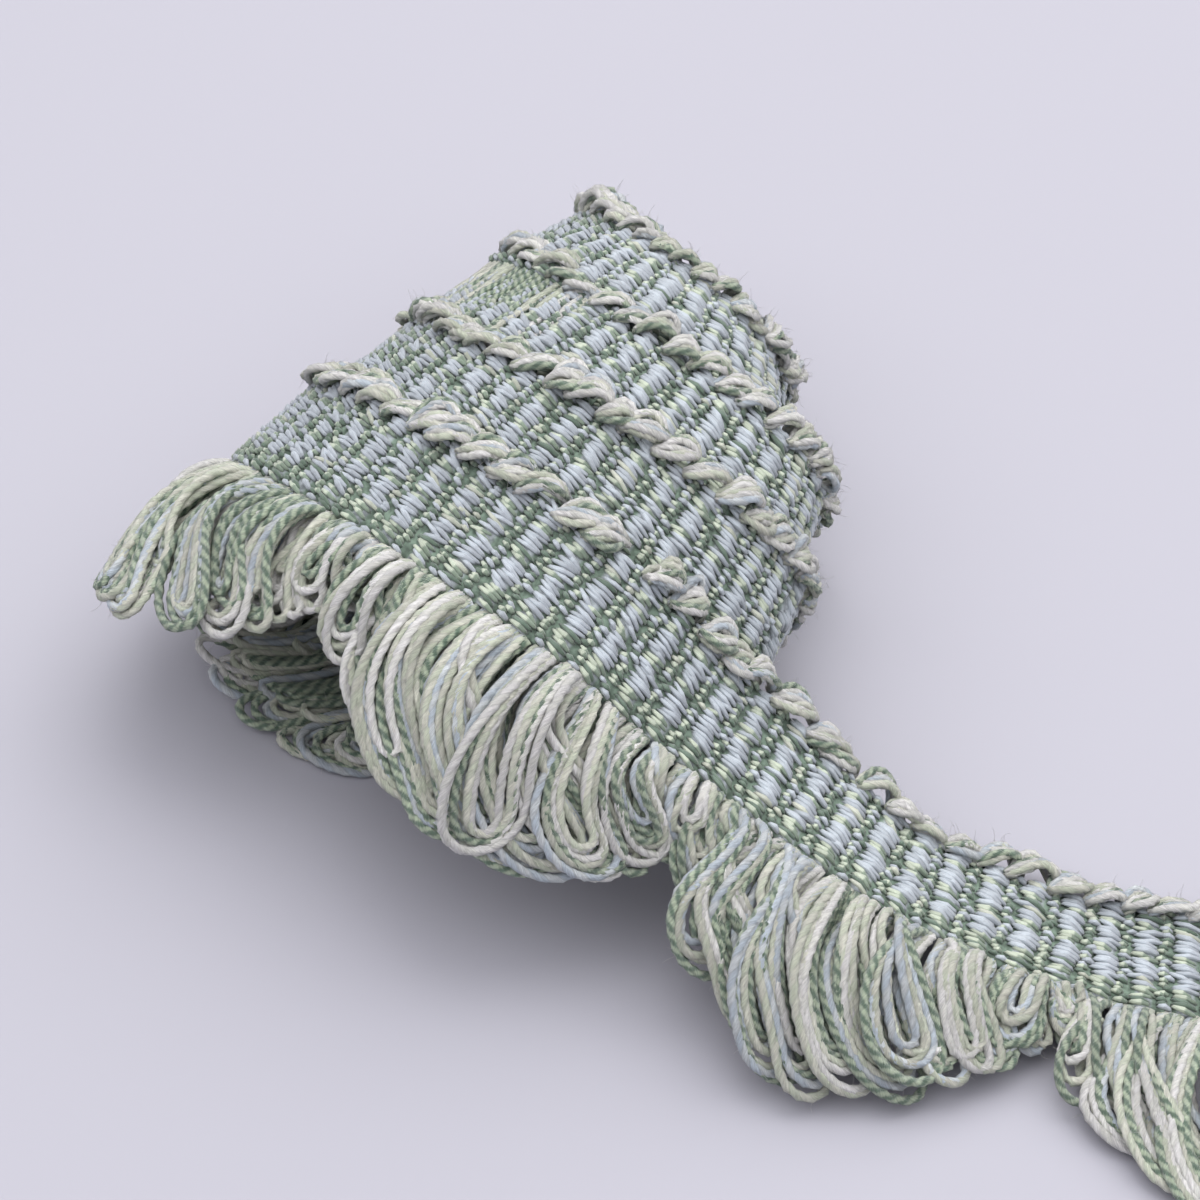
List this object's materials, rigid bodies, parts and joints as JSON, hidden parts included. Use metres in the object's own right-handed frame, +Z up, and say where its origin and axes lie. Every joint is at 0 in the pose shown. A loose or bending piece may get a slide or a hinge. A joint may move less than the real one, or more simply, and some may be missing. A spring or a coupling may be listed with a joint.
{
  "type": "fringed braid trim",
  "caption": "Woven furnishing braid with small picots on one edge and fans of looped yarn on the other, wound into a leaning roll with a loose end.",
  "frame": {"origin": "centre of the part's outline, on the surface that it lies on", "axes": "+Z up, +X along the roll's axis from its open mouth to its narrow end, the loose end runs toward -Y"},
  "size_m": [0.0932, 0.1506, 0.039],
  "materials": {
    "braid": "matte ribbed weave of pale blue, green and lime yarn",
    "fringe": "soft matte twisted yarn in white, beige, pale blue and green"
  },
  "bodies": {
    "root": {"wound_braid": "braid", "loose_braid": "braid", "mouth_fringe": "fringe", "loose_fringe": "fringe"}
  },
  "joints": []
}
